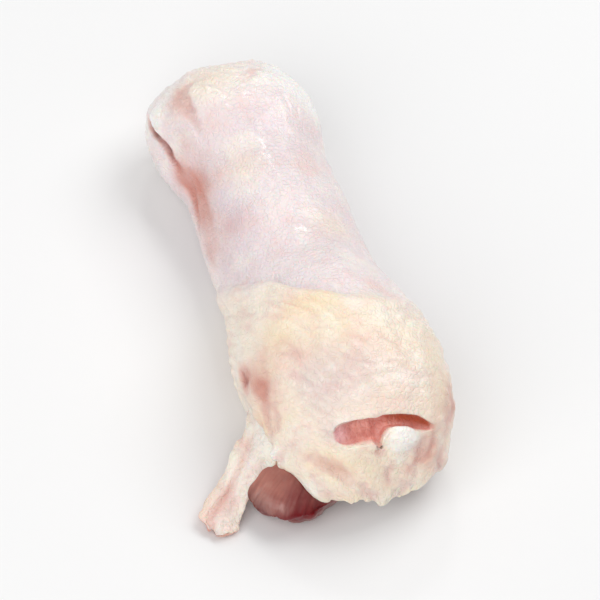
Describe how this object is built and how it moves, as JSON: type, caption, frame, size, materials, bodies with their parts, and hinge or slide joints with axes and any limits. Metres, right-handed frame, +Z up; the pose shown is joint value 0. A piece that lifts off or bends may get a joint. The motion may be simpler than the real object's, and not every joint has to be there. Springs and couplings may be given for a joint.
{
  "type": "raw chicken wing",
  "caption": "Raw chicken wing joint, the thick first one: a skin-covered shaft from a knobbly elbow end to a broad cut shoulder end under a loose skin apron, with the arm bone showing.",
  "frame": {"origin": "on the ground under the middle of the wing's bounding box", "axes": "+Y along the wing to the elbow end, -Y to the cut shoulder end, +Z up from the surface that it lies on"},
  "size_m": [0.0448, 0.0894, 0.0275],
  "materials": {
    "skin": "moist raw poultry skin, cream over the fat and pale lavender pink where it is thin",
    "gristle": "wet pearly white joint gristle"
  },
  "bodies": {
    "root": {"wing_meat": "skin", "wing_bone": "gristle"}
  },
  "joints": []
}
